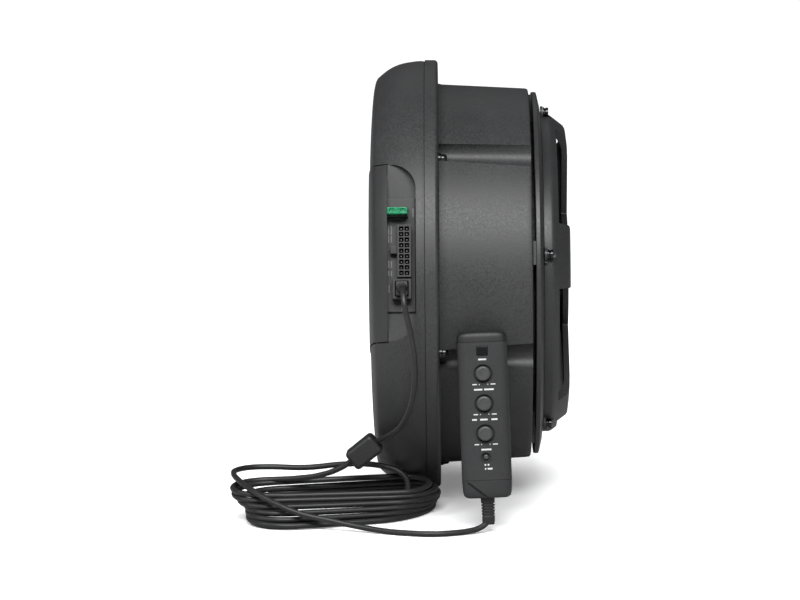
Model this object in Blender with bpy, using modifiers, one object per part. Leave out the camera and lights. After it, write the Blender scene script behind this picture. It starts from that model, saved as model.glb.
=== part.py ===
"""Powered spare-wheel subwoofer with a corded remote control, standing on its rim. Metres, +Z up.

The unit is drawn in its own frame: X along the axis, -Y its front, Z up its front. Two empties turn
it and the remote into place. Lengths below are in millimetres until mesh data is written."""

from math import asin, atan2, cos, hypot, pi, radians, sin

import bmesh
import bpy
from mathutils import Matrix, Vector

MM = 0.001
ROLL = radians(-14.5)
LEAN = radians(-8.5)
REMOTE_TILT = radians(-1.8)
SEGMENTS = 48
GAP = 0.3
FLOOR_Z = -171.1

# Case
RIM_R = 170.8
SEAM_X = -113.5
CROWN_X = -156.3
BLOCK_HALF = 67.3
BLOCK_PROUD = 0.8
HOOD_X = -140.7
BAY_FLOOR_Y = -150.0
BAY_X = (-143.0, -118.8)
BAY_CORNER = 20.0
DRUM_END_X = -30.3
SCREW_R = 150.4
SCREW_ANGLES = [30 + 60 * k for k in range(6)]
GROOVE_TURNS = [1.9, 0.0, 0.0, 0.0, 0.0, -1.9]

# Guard and woofer
ARMS = 5
BOLT_R = 130.0
LUG_X = -18.9
WINDOW_X = -9.5
HUB_R = 50.0

# Connectors in the bay
FUSE_Z = 30.4
FUSE_BLADES = (-136.8, -128.6)
SOCKET_Z = 0.2
JACK_Z = -28.5

# Remote, in its own frame: X right, Z up from the cable's end, -Y the face
REMOTE_FOOT = (-65.6, -180.3, -163.2)
REMOTE_W = 37.7
REMOTE_T = 22.0
RELIEF_L = 18.5
RELIEF_FROM = 4.0
REMOTE_L = 125.0
KNOB_DOWN = (30.9, 53.5, 76.1)
BUTTON_DOWN = 93.8
BADGE_DOWN = 14.0

# Cord
CABLE_R = 2.25
COIL_MIDDLE = (-180.0, -118.0)
COIL_SIZE = (79.0, 47.0)
COIL_SKEW = 0.3
LEAD_GAP = 0.4

DOME = [
    (SEAM_X, 170.0), (-117.4, 170.1), (-123.4, 169.4), (-129.2, 168.4), (-135.4, 166.4),
    (-141.6, 163.1), (-147.9, 158.1), (-150.6, 154.9), (-152.6, 147.0), (-154.1, 131.0),
    (-155.3, 107.0), (-156.0, 60.0), (CROWN_X, 0.0),
]


def clear_scene():
    for obj in list(bpy.data.objects):
        bpy.data.objects.remove(obj, do_unlink=True)


def material(name, color, roughness, metallic=0.0):
    made = bpy.data.materials.new(name)
    made.use_nodes = True
    shader = made.node_tree.nodes["Principled BSDF"]
    shader.inputs["Base Color"].default_value = (*color, 1)
    shader.inputs["Roughness"].default_value = roughness
    shader.inputs["Metallic"].default_value = metallic
    made.diffuse_color = (*color, 1)
    return made


def raw(points, faces, smooth=False):
    """A loose object from points in millimetres."""
    mesh = bpy.data.meshes.new("raw")
    mesh.from_pydata([Vector(p) * MM for p in points], [], faces)
    shape = bmesh.new()
    shape.from_mesh(mesh)
    bmesh.ops.recalc_face_normals(shape, faces=shape.faces)
    shape.to_mesh(mesh)
    shape.free()
    for face in mesh.polygons:
        face.use_smooth = smooth
    obj = bpy.data.objects.new("raw", mesh)
    bpy.context.collection.objects.link(obj)
    return obj


def revolve(profile, segments=SEGMENTS, centre=(0.0, 0.0)):
    """A closed outline of (x, r) turned about the X direction through centre (y, z)."""
    points, rings = [], []
    for x, r in profile:
        if r < 1e-6:
            rings.append([len(points)] * segments)
            points.append((x, *centre))
            continue
        rings.append(list(range(len(points), len(points) + segments)))
        for k in range(segments):
            a = 2 * pi * k / segments
            points.append((x, centre[0] - r * cos(a), centre[1] + r * sin(a)))
    faces = []
    for i, ring in enumerate(rings):
        after = rings[(i + 1) % len(rings)]
        for k in range(segments):
            j = (k + 1) % segments
            corners = []
            for corner in (ring[k], ring[j], after[j], after[k]):
                if corner not in corners:
                    corners.append(corner)
            if len(corners) > 2:
                faces.append(corners)
    return raw(points, faces, smooth=True)


def offset_line(line, distance):
    """The polyline moved sideways by distance, to its left in (x, r)."""
    moved = []
    for i, (x, r) in enumerate(line):
        before = line[max(i - 1, 0)]
        after = line[min(i + 1, len(line) - 1)]
        dx, dr = after[0] - before[0], after[1] - before[1]
        size = hypot(dx, dr)
        moved.append((x - distance * dr / size, max(r + distance * dx / size, 0.0)))
    return moved


def band(line, thickness, segments=SEGMENTS):
    """A thin wall of revolution along the middle line."""
    one = offset_line(line, thickness / 2)
    other = offset_line(line, -thickness / 2)
    return revolve(one + other[::-1], segments)


def prism(outline, low, high, axis):
    """An outline in the two other axes (in X, Y, Z order) drawn out along axis from low to high."""
    n = len(outline)
    points = []
    for level in (low, high):
        for u, v in outline:
            point = [u, v]
            point.insert(axis, level)
            points.append(tuple(point))
    faces = [list(range(n)), list(range(n, 2 * n))]
    faces += [[k, (k + 1) % n, n + (k + 1) % n, n + k] for k in range(n)]
    return raw(points, faces)


def box(low, high):
    outline = [(low[0], low[1]), (high[0], low[1]), (high[0], high[1]), (low[0], high[1])]
    return prism(outline, low[2], high[2], 2)


def rod(start, end, r0, r1=None, segments=16):
    """A cylinder or frustum from start to end."""
    start, end = Vector(start), Vector(end)
    turn = (end - start).to_track_quat("Z", "Y")
    points = []
    for middle, r in ((start, r0), (end, r0 if r1 is None else r1)):
        for k in range(segments):
            a = 2 * pi * k / segments
            points.append(middle + turn @ Vector((r * cos(a), r * sin(a), 0)))
    n = segments
    faces = [list(range(n)), list(range(n, 2 * n))]
    faces += [[k, (k + 1) % n, n + (k + 1) % n, n + k] for k in range(n)]
    return raw(points, faces)


def joined(objects):
    """Separate closed shapes as one loose object."""
    first = objects[0]
    shape = bmesh.new()
    for obj in objects:
        shape.from_mesh(obj.data)
    shape.to_mesh(first.data)
    shape.free()
    for obj in objects[1:]:
        bpy.data.objects.remove(obj, do_unlink=True)
    return first


def combine(target, other, operation):
    """target with other added, cut or kept in common; other is used up."""
    modifier = target.modifiers.new("bool", "BOOLEAN")
    modifier.object = other
    modifier.operation = operation
    modifier.solver = "EXACT"
    graph = bpy.context.evaluated_depsgraph_get()
    made = bpy.data.meshes.new_from_object(target.evaluated_get(graph))
    target.modifiers.clear()
    target.data = made
    bpy.data.objects.remove(other, do_unlink=True)
    return target


def add(target, other):
    return combine(target, other, "UNION")


def cut(target, other):
    return combine(target, other, "DIFFERENCE")


def common(target, other):
    return combine(target, other, "INTERSECT")


def smooth_by_angle(obj, degrees=35):
    shape = bmesh.new()
    shape.from_mesh(obj.data)
    for face in shape.faces:
        face.smooth = True
    for edge in shape.edges:
        edge.smooth = len(edge.link_faces) == 2 and edge.calc_face_angle(0) < radians(degrees)
    shape.to_mesh(obj.data)
    shape.free()


def rounded(obj, width, segments=2):
    """The object with its edges rounded."""
    bevel = obj.modifiers.new("bevel", "BEVEL")
    bevel.width = width * MM
    bevel.segments = segments
    bevel.limit_method = "ANGLE"
    graph = bpy.context.evaluated_depsgraph_get()
    made = bpy.data.meshes.new_from_object(obj.evaluated_get(graph))
    obj.modifiers.clear()
    obj.data = made
    return obj


def finish(obj, name, look, parent=None, origin=None):
    """Names the object, sets its material, its origin in the parent's frame, and its parent."""
    obj.name = name
    obj.data.name = name
    obj.data.materials.clear()
    obj.data.materials.append(look)
    smooth_by_angle(obj)
    if origin is not None:
        obj.data.transform(Matrix.Translation(-Vector(origin) * MM))
        obj.location = Vector(origin) * MM
    obj.parent = parent
    return obj


def around(radius, degrees, x=0.0):
    """A point at an angle from the unit's front, turning up."""
    a = radians(degrees)
    return Vector((x, -radius * cos(a), radius * sin(a)))


def curve_through(points, count):
    """Evenly drawn Catmull-Rom points through the given ones."""
    points = [Vector(p) for p in points]
    ends = [2 * points[0] - points[1], *points, 2 * points[-1] - points[-2]]
    dense = []
    for i in range(1, len(ends) - 2):
        a, b, c, d = ends[i - 1:i + 3]
        for k in range(24):
            t = k / 24
            dense.append(0.5 * (2 * b + (c - a) * t + (2 * a - 5 * b + 4 * c - d) * t * t
                                + (3 * b - a - 3 * c + d) * t ** 3))
    dense.append(points[-1])
    runs = [0.0]
    for one, other in zip(dense, dense[1:]):
        runs.append(runs[-1] + (other - one).length)
    even, at = [], 0
    for k in range(count):
        want = runs[-1] * k / (count - 1)
        while at < len(runs) - 2 and runs[at + 1] < want:
            at += 1
        share = (want - runs[at]) / (runs[at + 1] - runs[at])
        even.append(dense[at].lerp(dense[at + 1], share))
    return even


def tube(points, radius, first, last, segments=8):
    """A closed tube along the points, its ends square to the directions first and last."""
    n, rings, verts = len(points), [], []
    side = Vector((0, 0, 1))
    for i, point in enumerate(points):
        along = (points[min(i + 1, n - 1)] - points[max(i - 1, 0)]).normalized()
        if i in (0, n - 1):
            along = (first if i == 0 else last).normalized()
        side = (side - side.dot(along) * along).normalized()
        other = along.cross(side)
        rings.append(range(len(verts), len(verts) + segments))
        for k in range(segments):
            a = 2 * pi * k / segments
            verts.append(point + radius * (side * cos(a) + other * sin(a)))
    faces = [list(rings[0]), list(rings[-1])]
    for one, two in zip(rings, rings[1:]):
        for k in range(segments):
            j = (k + 1) % segments
            faces.append([one[k], one[j], two[j], two[k]])
    return raw(verts, faces, smooth=True)


def profile_offset(distance):
    """The dome's outer line moved outwards by distance (inwards if negative)."""
    moved = offset_line(DOME, -distance)
    moved[-1] = (moved[-1][0], 0.0)
    return moved


def clip_line(line, x):
    """The part of the dome's line on the crown's side of x."""
    kept = []
    for one, two in zip(line, line[1:]):
        if one[0] > x >= two[0]:
            share = (one[0] - x) / (one[0] - two[0])
            kept.append((x, one[1] + share * (two[1] - one[1])))
        if two[0] < x:
            kept.append(two)
    return kept


def block_outline(half):
    """The raised block seen along the axis: straight sides to the front, round about the hub."""
    outline = [(-230.0, -half), (0.0, -half)]
    for k in range(1, 12):
        a = -pi / 2 + pi * k / 12
        outline.append((half * cos(a), half * sin(a)))
    return outline + [(0.0, half), (-230.0, half)]


def bay_outline(clearance=0.0):
    """The connector bay in X and Z: square under the hood, round corners at its other side."""
    left, right = BAY_X[0] - clearance, BAY_X[1] + clearance
    half = BLOCK_HALF + clearance
    outline = [(left, -half)]
    for k in range(5):
        a = -pi / 2 + pi / 2 * k / 4
        outline.append((right - BAY_CORNER + BAY_CORNER * cos(a), -half + BAY_CORNER + BAY_CORNER * sin(a)))
    for k in range(5):
        a = pi / 2 * k / 4
        outline.append((right - BAY_CORNER + BAY_CORNER * cos(a), half - BAY_CORNER + BAY_CORNER * sin(a)))
    return outline + [(left, half)]


def make_dome(look, parent):
    inner = [(-153.0, 0.0), (-152.5, 90.0), (-151.2, 125.0), (-149.6, 142.0), (-147.5, 151.0),
             (-140.0, 158.8), (-133.0, 163.0), (-110.9, 163.2)]
    dome = revolve([(-110.9, 166.6), (SEAM_X, 166.6)] + DOME + inner)
    solid = profile_offset(-1.0)
    walls = prism(bay_outline(3.0), -200.0, BAY_FLOOR_Y + 3.0, 1)
    walls = common(walls, revolve([(-116.0, 0.0), (-116.0, 169.0)] + solid[1:]))
    dome = add(dome, walls)
    bosses = []
    for angle in SCREW_ANGLES:
        bosses.append(rod(around(SCREW_R, angle, -106.4), around(SCREW_R, angle, -151.0), 5.5, segments=12))
    posts = []
    for y, z in ((-110, -66), (-110, 66), (60, -66), (60, 66)):
        posts.append(rod((-139.9, y, z), (-154.4, y, z), 4.0, segments=10))
    bosses = common(joined(bosses), revolve([(-100.0, 0.0), (-100.0, 169.0)] + solid[1:]))
    dome = add(dome, bosses)
    dome = add(dome, joined(posts))
    dome = cut(dome, prism(bay_outline(), -200.0, BAY_FLOOR_Y, 1))
    outer = clip_line(profile_offset(6.0), HOOD_X + GAP)
    under = clip_line(profile_offset(-2.0), HOOD_X + GAP)
    pocket = common(revolve(outer + under[::-1]), prism(block_outline(BLOCK_HALF + GAP), -200.0, -100.0, 0))
    dome = cut(dome, pocket)
    holes = [
        rod(around(SCREW_R, a, -100.0), around(SCREW_R, a, -124.0), 1.8, segments=8)
        for a in SCREW_ANGLES
    ]
    return finish(cut(dome, joined(holes)), "dome_shell", look, parent)


def make_crown(look, parent):
    outer = clip_line(profile_offset(BLOCK_PROUD), HOOD_X)
    under = clip_line(profile_offset(-1.7), HOOD_X)
    crown = common(revolve(outer + under[::-1]), prism(block_outline(BLOCK_HALF), -200.0, -100.0, 0))
    return finish(crown, "crown_panel", look, parent)


def bolt_holes(start, end):
    return [
        rod(around(BOLT_R, 72 * k, start), around(BOLT_R, 72 * k, end), 2.2, segments=8)
        for k in range(ARMS)
    ]


def make_drum(look, parent):
    drum = revolve([
        (-112.9, 170.2), (-112.0, 170.8), (-104.8, 170.8), (-103.1, 170.0), (-102.5, 168.4), (-102.5, 153.3),
        (-101.3, 151.5), (-33.0, 147.7), (-31.1, 146.9), (DRUM_END_X, 145.0), (DRUM_END_X, 112.0),
        (-33.8, 112.0), (-33.8, 144.0), (-106.0, 148.2), (-106.0, 166.9), (-112.9, 166.9),
    ])
    skin = revolve([
        (-106.0, 0.0), (-106.0, 151.0), (-34.0, 147.2), (-31.5, 146.4), (-30.9, 145.0), (-30.9, 0.0),
    ])
    houses, grooves = [], []
    for angle, turn in zip(SCREW_ANGLES, GROOVE_TURNS):
        end = around(149.2, angle + 0.75 * turn, -20.0)
        houses.append(rod(around(SCREW_R - 0.2, angle + turn, -106.0), end, 11.2, 12.9))
        grooves.append(rod(around(SCREW_R - 0.2, angle + turn, -102.5), end, 8.3, 9.9))
    drum = add(drum, common(joined(houses), skin))
    drum = cut(drum, joined(grooves))
    holes = [
        rod(around(SCREW_R, a, -110.0), around(SCREW_R, a, -100.0), 1.8, segments=8)
        for a in SCREW_ANGLES
    ]
    holes += bolt_holes(-40.0, -20.0)
    return finish(cut(drum, joined(holes)), "drum_shell", look, parent)


def make_case_screws(look, parent):
    for k, angle in enumerate(SCREW_ANGLES):
        head = rod(around(SCREW_R, angle, -98.4), around(SCREW_R, angle, -102.2), 2.7, 3.2, segments=10)
        shank = rod(around(SCREW_R, angle, -101.0), around(SCREW_R, angle, -122.0), 1.4, segments=8)
        screw = add(head, shank)
        recess = rod(around(SCREW_R, angle, -100.4), around(SCREW_R, angle, -95.0), 1.3, segments=6)
        screw = cut(screw, recess)
        finish(screw, f"case_screw_{k + 1}", look, parent)


def make_woofer_ring(look, parent):
    ring = revolve([
        (-27.8, 144.7), (-25.0, 144.7), (-23.9, 143.6), (-21.7, 134.6), (-21.3, 130.0), (-21.3, 118.6),
        (-27.8, 118.6),
    ])
    pads = []
    for k in range(ARMS):
        pad = box((-30.0, -143.5, -9.0), (-27.0, -124.0, 9.0))
        pad.data.transform(Matrix.Rotation(radians(-72 * k), 4, "X"))
        pads.append(pad)
    ring = add(ring, joined(pads))
    holes = bolt_holes(-40.0, -10.0)
    return finish(cut(ring, joined(holes)), "woofer_ring", look, parent)


def make_guard(look, parent):
    guard = revolve([
        (-20.9, 127.2), (-16.3, 127.4), (-13.1, 125.7), (-9.9, 122.8), (-6.7, 120.0), (-3.5, 117.6),
        (-1.8, 114.0), (-0.6, 110.5), (0.0, 107.0), (0.0, 0.0), (-4.5, 0.0), (-4.5, 105.0), (-5.8, 110.5),
        (-9.0, 115.5), (-13.0, 119.5), (-20.9, 120.6),
    ], 60)
    lugs = []
    for k in range(ARMS):
        lugs.append(rod(around(BOLT_R, 72 * k, -20.9), around(BOLT_R, 72 * k, LUG_X), 4.9, segments=16))
        foot = box((-20.9, -BOLT_R, -6.5), (LUG_X, -121.5, 6.5))
        foot.data.transform(Matrix.Rotation(radians(-72 * k), 4, "X"))
        lugs[-1] = add(lugs[-1], foot)
    guard = add(guard, joined(lugs))
    windows = []
    for k in range(ARMS):
        centre = 36 + 72 * k
        outline = []
        for step in range(5):
            a = radians(centre - 22 + 44 * step / 4)
            outline.append((-(HUB_R + 2) * cos(a), (HUB_R + 2) * sin(a)))
        for step in range(7):
            a = radians(centre + 24.3 - 48.6 * step / 6)
            outline.append((-136.0 * cos(a), 136.0 * sin(a)))
        windows.append(prism(outline, WINDOW_X, 5.0, 0))
    guard = cut(guard, joined(windows))
    guard = cut(guard, joined([
        rod(around(BOLT_R, 72 * k, LUG_X), around(BOLT_R, 72 * k, -5.0), 4.4) for k in range(ARMS)
    ]))
    ribs = []
    for k in range(ARMS):
        side = [(-10.5, -30.0), (-10.5, -100.0), (-5.5, -108.0), (-3.5, -108.0), (-3.5, -30.0)]
        ribs.append(prism(side, -3.0, 3.0, 2))
        ribs[-1].data.transform(Matrix.Rotation(radians(-72 * k), 4, "X"))
    guard = add(guard, joined(ribs))
    holes = bolt_holes(-25.0, -10.0)
    return finish(cut(guard, joined(holes)), "guard", look, parent)


def make_guard_bolts(look, parent):
    for k in range(ARMS):
        start, end = LUG_X + GAP, LUG_X + GAP + 4.2
        head = rod(around(BOLT_R, 72 * k, start), around(BOLT_R, 72 * k, end), 3.8, 3.5, segments=12)
        turn = 72 * k
        shank = rod(around(BOLT_R, turn, -37.0), around(BOLT_R, turn, start + 1.0), 1.9, segments=8)
        recess = rod(around(BOLT_R, turn, end - 2.0), around(BOLT_R, turn, -8.0), 1.8, segments=6)
        bolt = cut(add(head, shank), recess)
        finish(bolt, f"guard_bolt_{k + 1}", look, parent)


def make_woofer(looks, parent):
    basket = revolve([
        (-28.1, 118.2), (-30.0, 118.2), (-30.0, 111.5), (-40.0, 109.5), (-68.6, 63.0), (-80.0, 61.0),
        (-80.0, 21.5), (-78.2, 21.5), (-78.2, 58.6), (-68.6, 58.6), (-68.6, 48.0), (-66.8, 48.0),
        (-66.8, 62.0), (-39.4, 107.2), (-30.4, 108.6), (-30.0, 103.0), (-28.1, 103.0),
    ])
    vents = []
    for k in range(6):
        vents.append(rod(around(60.0, 60 * k, -40.0), around(120.0, 60 * k, -75.0), 14.0, segments=12))
    finish(cut(basket, joined(vents)), "basket", looks["steel"], parent)
    cone = revolve([
        (-30.8, 88.0), (-45.2, 58.0), (-56.3, 33.5), (-62.0, 20.6), (-63.8, 20.6), (-58.0, 34.3),
        (-46.8, 59.0), (-32.2, 88.8),
    ])
    finish(cone, "cone", looks["cone"], parent)
    surround = band([
        (-27.2, 110.0), (-27.2, 104.0), (-23.8, 102.4), (-21.4, 99.8), (-20.5, 96.5), (-21.4, 93.2),
        (-24.5, 90.8), (-29.0, 89.2), (-30.0, 86.0),
    ], 0.9)
    finish(surround, "surround", looks["rubber"], parent)
    finish(band([(-57.8, 27.6), (-54.0, 24.0), (-50.6, 17.0), (-48.7, 8.5), (-48.2, 0.0)], 1.0, 32),
           "dust_cap", looks["cone"], parent)
    spider = band([
        (-66.0, 57.0), (-66.0, 49.0), (-64.6, 45.5), (-67.4, 42.0), (-64.6, 38.5), (-67.4, 35.0),
        (-64.6, 31.5), (-67.4, 28.0), (-66.0, 25.0), (-66.0, 21.2),
    ], 0.8, 36)
    finish(spider, "spider", looks["fibre"], parent)
    finish(revolve([(-60.4, 19.4), (-60.4, 20.3), (-90.0, 20.3), (-90.0, 19.4)], 32), "voice_coil",
           looks["copper"], parent)
    finish(revolve([(-80.4, 21.2), (-80.4, 52.0), (-86.5, 52.0), (-86.5, 21.2)], 36), "top_plate",
           looks["steel"], parent)
    finish(revolve([(-86.8, 25.0), (-86.8, 57.0), (-104.0, 57.0), (-104.0, 25.0)], 36), "magnet",
           looks["ferrite"], parent)
    back_plate = revolve([
        (-80.6, 0.0), (-80.6, 18.6), (-104.3, 18.6), (-104.3, 52.0), (-110.5, 52.0), (-111.5, 50.0),
        (-111.5, 0.0),
    ], 36)
    finish(back_plate, "back_plate", looks["steel"], parent)


def make_electronics(looks, parent):
    finish(box((-139.6, -118.0, -72.0), (-138.0, 68.0, 72.0)), "amp_board", looks["board"], parent)
    comb = [(-137.7, -52.0), (-134.0, -52.0)]
    for k in range(7):
        low = -50.0 + 15.5 * k
        comb += [(-134.0, low), (-119.0, low), (-119.0, low + 3.0), (-134.0, low + 3.0)]
    comb += [(-134.0, 52.0), (-137.7, 52.0)]
    finish(prism(comb, 0.0, 58.0, 1), "heat_sink", looks["aluminium"], parent)
    for k, z in enumerate((-34.0, 34.0)):
        profile = [(-137.7, 0.0), (-137.7, 11.0), (-114.5, 11.0), (-113.7, 10.0), (-113.7, 0.0)]
        can = revolve(profile, 20, (-72.0, z))
        finish(can, f"capacitor_{k + 1}", looks["can"], parent)
    finish(revolve([(-137.7, 7.0), (-137.7, 15.0), (-126.0, 15.0), (-126.0, 7.0)], 20, (-40.0, 0.0)),
           "inductor", looks["copper"], parent)
    gasket = revolve([(-110.6, 163.4), (-110.6, 166.4), (-106.3, 166.4), (-106.3, 163.4)])
    finish(gasket, "case_gasket", looks["rubber"], parent)


def make_terminals(looks, parent):
    base = BAY_FLOOR_Y - GAP
    face = base - 2.0
    top = face - GAP
    finish(box((-142.5, face, -45.3), (-119.4, base, 41.7)), "terminal_panel", looks["dark"], parent)
    holder = box((-141.0, top - 5.0, FUSE_Z - 3.8), (-124.6, top, FUSE_Z + 3.8))
    slots = [box((x - 2.9, top - 9.0, FUSE_Z - 0.9), (x + 2.9, top - 1.0, FUSE_Z + 0.9)) for x in FUSE_BLADES]
    finish(cut(holder, joined(slots)), "fuse_holder", looks["black"], parent)
    fuse = box((-140.3, top - 14.5, FUSE_Z - 2.55), (-125.1, top - 5.3, FUSE_Z + 2.55))
    blades = [
        box((x - 2.5, top - 6.0, FUSE_Z - 0.4), (x + 2.5, top - 1.6, FUSE_Z + 0.4))
        for x in FUSE_BLADES
    ]
    finish(add(fuse, joined(blades)), "fuse", looks["green"], parent, (-132.7, top - 8.0, FUSE_Z))
    socket = box((-133.2, top - 9.5, SOCKET_Z - 19.9), (-122.4, top, SOCKET_Z + 19.9))
    socket = add(socket, box((-138.3, top - 6.0, -1.5), (-132.0, top, 4.2)))
    cells = []
    for row in range(9):
        for x in (-129.9, -125.7):
            z = SOCKET_Z + 4.2 * (row - 4)
            cells.append(box((x - 1.55, top - 20.0, z - 1.55), (x + 1.55, top - 3.5, z + 1.55)))
    finish(cut(socket, joined(cells)), "harness_socket", looks["black"], parent)
    jack = box((-137.0, top - 9.5, JACK_Z - 7.7), (-122.4, top, JACK_Z + 7.7))
    jack = cut(jack, box((-134.6, top - 20.0, JACK_Z - 5.8), (-124.8, top - 3.0, JACK_Z + 5.8)))
    finish(jack, "remote_jack", looks["black"], parent)
    plug = box((-134.2, top - 14.0, JACK_Z - 5.4), (-125.2, top - 3.4, JACK_Z + 5.4))
    boot = rod((-129.7, top - 13.0, JACK_Z), (-129.7, top - 20.5, JACK_Z), 3.9, 3.4, segments=12)
    finish(add(plug, boot), "plug", looks["dark"], parent)
    led = rod((-129.7, top, -38.6), (-129.7, top - 2.6, -38.6), 1.5, 1.2, segments=12)
    finish(led, "power_led", looks["red"], parent)
    return Vector((-129.7, top - 20.5, JACK_Z))


def remote_section(width, depth):
    """The remote seen along its length: a bowed face, flat back, rounded sides. X and Y."""
    half, t = width / 2, depth / 2
    return [(-half, 0.0), (-half, -t + 5.0), (-half + 2.6, -t + 1.9), (-half / 2, -t + 0.4), (0.0, -t),
            (half / 2, -t + 0.4), (half - 2.6, -t + 1.9), (half, -t + 5.0), (half, 0.0),
            (half, t - 4.0), (half - 4.0, t), (-half + 4.0, t), (-half, t - 4.0)]


def make_remote(looks, parent):
    top = RELIEF_L + REMOTE_L
    low, high = RELIEF_L + 13.5 + GAP / 2, top - 7.3 - GAP / 2
    split = 2.0
    for name, keep_front in (("remote_front", True), ("remote_back", False)):
        shell = prism(remote_section(REMOTE_W, REMOTE_T), low, high, 2)
        hollow = prism(remote_section(REMOTE_W - 4.4, REMOTE_T - 4.4), low + 2.0, high - 2.0, 2)
        shell = cut(shell, hollow)
        y = (-30.0, split - GAP / 2) if keep_front else (split + GAP / 2, 30.0)
        shell = common(shell, box((-40.0, y[0], 0.0), (40.0, y[1], 200.0)))
        if keep_front:
            holes = [rod((0, -30.0, top - d), (0, -5.0, top - d), 3.6, segments=12) for d in KNOB_DOWN]
            holes.append(rod((0, -30.0, top - BUTTON_DOWN), (0, -5.0, top - BUTTON_DOWN), 2.3, segments=12))
            shell = cut(shell, joined(holes))
            middle = top - BADGE_DOWN
            badge = box((-4.45, -30.0, middle - 3.7), (4.45, -REMOTE_T / 2 + 0.9, middle + 3.7))
            shell = cut(shell, badge)
        finish(shell, name, looks["dark"], parent)
    cap = prism(remote_section(REMOTE_W, REMOTE_T), high + GAP, top, 2)
    finish(rounded(cap, 1.6), "remote_top_cap", looks["dark"], parent)
    foot = prism(remote_section(REMOTE_W, REMOTE_T), RELIEF_L, low - GAP, 2)
    finish(rounded(foot, 2.2), "remote_bottom_cap", looks["dark"], parent)
    badge = box((-4.15, -REMOTE_T / 2 - 0.3, top - BADGE_DOWN - 3.4),
                (4.15, -REMOTE_T / 2 + 0.6, top - BADGE_DOWN + 3.4))
    finish(badge, "badge_window", looks["badge"], parent)
    board_y = 0.6
    board = box((-14.5, board_y, low + 4.0), (14.5, board_y + 1.6, high - 4.0))
    finish(board, "remote_board", looks["board"], parent)
    for k, (down, name) in enumerate(zip(KNOB_DOWN, ("level_knob", "boost_knob", "crossover_knob"))):
        z = top - down
        pot = rod((0, board_y - GAP, z), (0, -5.6, z), 4.8, segments=12)
        pot = add(pot, rod((0, -5.0, z), (0, -11.0, z), 1.5, segments=8))
        finish(pot, f"pot_{k + 1}", looks["steel"], parent)
        knob = rod((0, -11.4, z), (0, -15.4, z), 5.5, 5.1, segments=20)
        knob = add(knob, rod((0, -7.5, z), (0, -12.0, z), 3.2, segments=12))
        knob = cut(knob, rod((0, -5.0, z), (0, -11.9, z), 1.8, segments=8))
        knob = cut(knob, box((-0.4, -17.0, z + 1.5), (0.4, -15.0, z + 4.6)))
        finish(knob, name, looks["grey"], parent, (0, -11.4, z))
    z = top - BUTTON_DOWN
    button = rod((0, -3.2, z), (0, -12.6, z), 1.9, segments=12)
    finish(button, "phase_button", looks["grey"], parent, (0, -8.0, z))
    relief = rod((0, 0, RELIEF_FROM), (0, 0, RELIEF_L - GAP), 3.4, 5.0, segments=16)
    finish(relief, "strain_relief", looks["black"], parent)


def coil_outline(scale):
    outline = []
    for k in range(40):
        a = 2 * pi * k / 40
        across = COIL_SIZE[0] * scale * cos(a)
        along = COIL_SKEW * across - COIL_SIZE[1] * scale * sin(a)
        outline.append((COIL_MIDDLE[0] + across, COIL_MIDDLE[1] + along))
    return outline


def make_cord(looks, plug_end, ferrite_ends):
    levels = ((FLOOR_Z, 1.0), (-160.0, 1.0), (-152.0, 0.86), (-146.0, 0.7), (-144.0, 0.6))
    points, faces = [], []
    for z, scale in levels:
        points += [(x, y, z) for x, y in coil_outline(scale)]
    faces = [list(range(40)), list(range(160, 200))]
    for level in range(4):
        for k in range(40):
            j = (k + 1) % 40
            a, b = 40 * level, 40 * (level + 1)
            faces.append([a + k, a + j, b + j, b + k])
    finish(raw(points, faces, smooth=True), "cable_coil", looks["cable"])
    right, left = ferrite_ends
    along = (right - left).normalized()
    out = Matrix.Rotation(ROLL, 3, "X") @ Vector((0, -1, 0))
    start = plug_end + out * LEAD_GAP
    upper = curve_through([
        start, start + out * 4.0, start + out * 8.0, (-126.6, -187.6, 6.0), (-122.8, -187.0, -16.0),
        (-120.2, -182.5, -44.0),
        (-122.0, -172.5, -68.0), (-129.0, -159.0, -92.0), (-138.5, -139.0, -106.5),
        right + along * (LEAD_GAP + 5.0), right + along * LEAD_GAP,
    ], 56)
    finish(tube(upper, CABLE_R, out, -along), "lead_upper", looks["cable"])
    middle = curve_through([
        left - along * LEAD_GAP, left - along * (LEAD_GAP + 4.0),
        (-180.4, -118.3, -136.0), (-182.6, -118.2, -139.6),
        (-183.0, -118.2, -144.0 + LEAD_GAP),
    ], 12)
    finish(tube(middle, CABLE_R, -along, Vector((0, 0, -1))), "lead_mid", looks["cable"])
    one, two = (Vector((*coil_outline(1.0)[k], FLOOR_Z + CABLE_R + 0.1)) for k in (6, 7))
    facet = (one + two) / 2
    normal = (two - one).cross(Vector((0, 0, 1))).normalized()
    if normal.y > 0:
        normal = -normal
    foot = Vector(REMOTE_FOOT)
    remote_down = remote_matrix().to_3x3() @ Vector((0, 0, -1))
    lower = curve_through([
        foot - remote_down * (RELIEF_FROM - LEAD_GAP), foot - remote_down * 1.6,
        foot + Vector((-3.0, -0.8, -2.6)),
        foot + Vector((-10.0, -3.0, -4.3)),
        (-95.0, -190.0, FLOOR_Z + CABLE_R + 0.1), (-122.0, -189.0, FLOOR_Z + CABLE_R + 0.1),
        facet + normal * 8.0, facet + normal * LEAD_GAP,
    ], 26)
    finish(tube(lower, CABLE_R, remote_down, -normal), "lead_lower", looks["cable"])


def remote_matrix():
    turn = Matrix.Rotation(REMOTE_TILT, 4, "Y") @ Matrix.Rotation(LEAN, 4, "X")
    return Matrix.Translation(Vector(REMOTE_FOOT)) @ turn


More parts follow.
